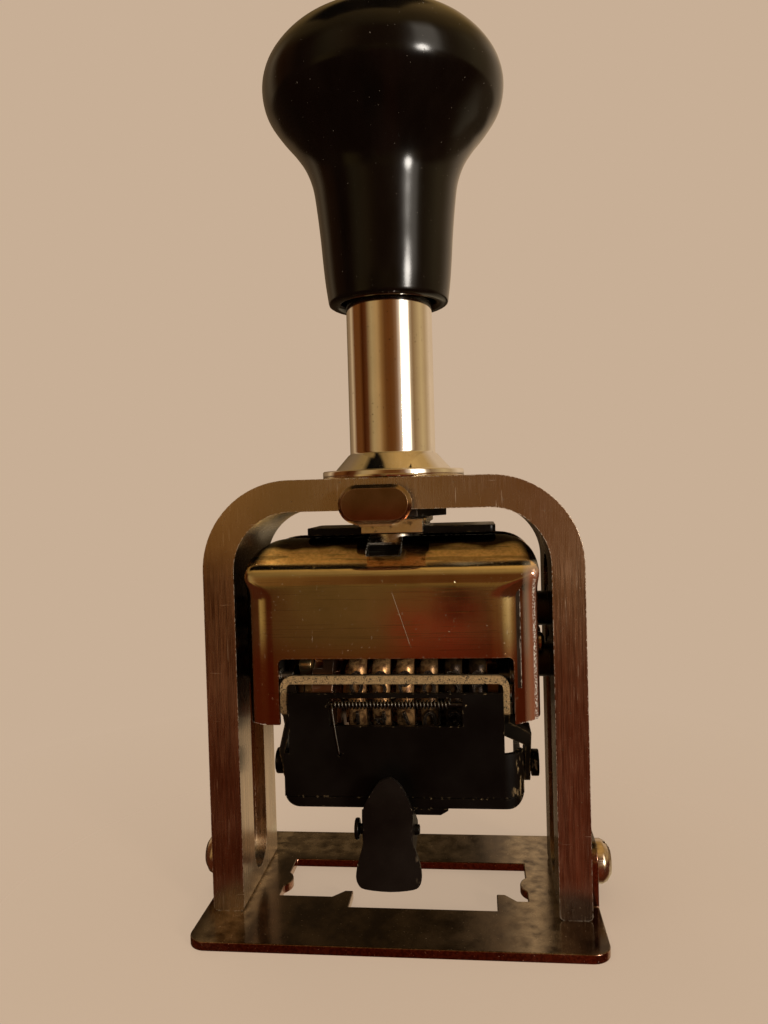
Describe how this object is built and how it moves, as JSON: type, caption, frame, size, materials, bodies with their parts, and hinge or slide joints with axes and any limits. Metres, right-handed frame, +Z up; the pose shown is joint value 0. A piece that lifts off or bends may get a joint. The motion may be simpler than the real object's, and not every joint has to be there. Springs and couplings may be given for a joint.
{
  "type": "numbering machine",
  "caption": "Hand numbering machine: a black knob presses a sprung carriage of number wheels and a swinging ink tray down through an arched metal frame.",
  "frame": {"origin": "middle of the base plate's underside, on the plunger's axis", "axes": "+X to the right along the row of wheels, +Y to the back, +Z up along the plunger; the ink tray is at the front, at -Y"},
  "size_m": [0.0718, 0.0424, 0.1538],
  "materials": {
    "frame_metal": "brushed nickel plate, warm and worn",
    "cover_metal": "bright nickel plate with fine scratches",
    "bright_chrome": "polished chrome plate",
    "screw_metal": "nickel plate",
    "plain_steel": "plain turned steel",
    "dark_steel": "dark oiled steel",
    "spring_steel": "bright spring wire",
    "wheel_metal": "warm steel with traces of ink",
    "brass_parts": "dull brass",
    "black_paint": "black paint worn through to brass at the edges",
    "black_knob": "polished black plastic",
    "inked_felt": "felt soaked in dark ink"
  },
  "bodies": {
    "frame": {"outer_frame": "frame_metal", "base_plate": "frame_metal", "base_screws": "screw_metal", "guide_sleeve": "bright_chrome", "sleeve_nut": "dark_steel", "lock_screws": "dark_steel"},
    "lock": {"lock_slide": "frame_metal"},
    "carriage": {"knob": "black_knob", "plunger_rod": "plain_steel", "rod_nut": "dark_steel", "main_spring": "spring_steel", "buffer_plate": "black_paint", "carriage_frame": "dark_steel", "front_cover": "cover_metal", "rear_cover": "cover_metal", "cover_screws": "screw_metal", "guide_studs": "screw_metal", "wheel_shaft": "plain_steel", "wheel_spacers": "brass_parts", "rear_bar": "dark_steel", "detent_bar": "dark_steel", "detent_springs": "spring_steel", "bail_pins": "dark_steel"},
    "wheel_1": {"number_wheel_1": "wheel_metal"},
    "wheel_2": {"number_wheel_2": "wheel_metal"},
    "wheel_3": {"number_wheel_3": "wheel_metal"},
    "wheel_4": {"number_wheel_4": "wheel_metal"},
    "wheel_5": {"number_wheel_5": "wheel_metal"},
    "wheel_6": {"number_wheel_6": "wheel_metal"},
    "repeat": {"repeat_wheel": "wheel_metal"},
    "selector": {"selector_lever": "brass_parts"},
    "rocker": {"rocker_arm_left": "dark_steel", "rocker_arm_right": "dark_steel", "pawl_shaft": "plain_steel"},
    "pawl": {"feed_pawl": "dark_steel"},
    "bail": {"pad_bail": "black_paint"},
    "tray": {"pad_carrier": "black_paint", "pad_holder": "black_paint", "felt_pad": "inked_felt", "tray_studs": "black_paint", "spring_rod": "plain_steel", "tray_spring": "spring_steel", "paddle_bracket": "black_paint", "paddle_pin": "black_paint"},
    "release": {"paddle": "black_paint", "paddle_spring": "spring_steel"}
  },
  "joints": [
    {"name": "press", "type": "slide", "parent": "frame", "child": "carriage", "axis": [0, 0, -1], "range_m": [0, 0.0255], "stiffness_N_per_m": 400, "springref_m": -0.015, "deforming": ["main_spring"]},
    {"name": "lock_push", "type": "slide", "parent": "frame", "child": "lock", "axis": [0, 1, 0], "range_m": [0, 0.003]},
    {"name": "wheel_1_turn", "type": "hinge", "parent": "carriage", "child": "wheel_1", "pos_m": [-0.0062, 0, 0.0364], "axis": [1, 0, 0], "continuous": true},
    {"name": "wheel_2_turn", "type": "hinge", "parent": "carriage", "child": "wheel_2", "pos_m": [-0.00217, 0, 0.0364], "axis": [1, 0, 0], "continuous": true},
    {"name": "wheel_3_turn", "type": "hinge", "parent": "carriage", "child": "wheel_3", "pos_m": [0.00186, 0, 0.0364], "axis": [1, 0, 0], "continuous": true},
    {"name": "wheel_4_turn", "type": "hinge", "parent": "carriage", "child": "wheel_4", "pos_m": [0.00589, 0, 0.0364], "axis": [1, 0, 0], "continuous": true},
    {"name": "wheel_5_turn", "type": "hinge", "parent": "carriage", "child": "wheel_5", "pos_m": [0.00992, 0, 0.0364], "axis": [1, 0, 0], "continuous": true},
    {"name": "wheel_6_turn", "type": "hinge", "parent": "carriage", "child": "wheel_6", "pos_m": [0.01395, 0, 0.0364], "axis": [1, 0, 0], "continuous": true},
    {"name": "repeat_turn", "type": "hinge", "parent": "carriage", "child": "repeat", "pos_m": [-0.0121, 0, 0.0364], "axis": [1, 0, 0], "continuous": true},
    {"name": "selector_turn", "type": "hinge", "parent": "carriage", "child": "selector", "pos_m": [-0.0152, 0, 0.0364], "axis": [1, 0, 0], "range_deg": [-12, 12]},
    {"name": "rocker_swing", "type": "hinge", "parent": "carriage", "child": "rocker", "pos_m": [0, 0, 0.0364], "axis": [1, 0, 0], "range_deg": [0, 40]},
    {"name": "pawl_flip", "type": "hinge", "parent": "rocker", "child": "pawl", "pos_m": [0, 0.01064, 0.04471], "axis": [1, 0, 0], "range_deg": [0, 10], "stiffness_Nm_per_rad": 0.01, "springref_deg": -11.46},
    {"name": "bail_swing", "type": "hinge", "parent": "carriage", "child": "bail", "pos_m": [0, -0.0117, 0.0413], "axis": [1, 0, 0], "range_deg": [-100, 0]},
    {"name": "tray_fold", "type": "hinge", "parent": "bail", "child": "tray", "pos_m": [0, 0, 0.0234], "axis": [1, 0, 0], "range_deg": [0, 15]},
    {"name": "paddle_press", "type": "hinge", "parent": "tray", "child": "release", "pos_m": [-0.00045, -0.0182, 0.0187], "axis": [1, 0, 0], "range_deg": [0, 15], "stiffness_Nm_per_rad": 0.02, "springref_deg": -11.46}
  ],
  "couplings": [
    {"joint": "rocker_swing", "follows": "press", "rad_per_m": 27.37},
    {"joint": "bail_swing", "follows": "press", "rad_per_m": -68.44},
    {"joint": "tray_fold", "follows": "press", "rad_per_m": 10.26}
  ]
}
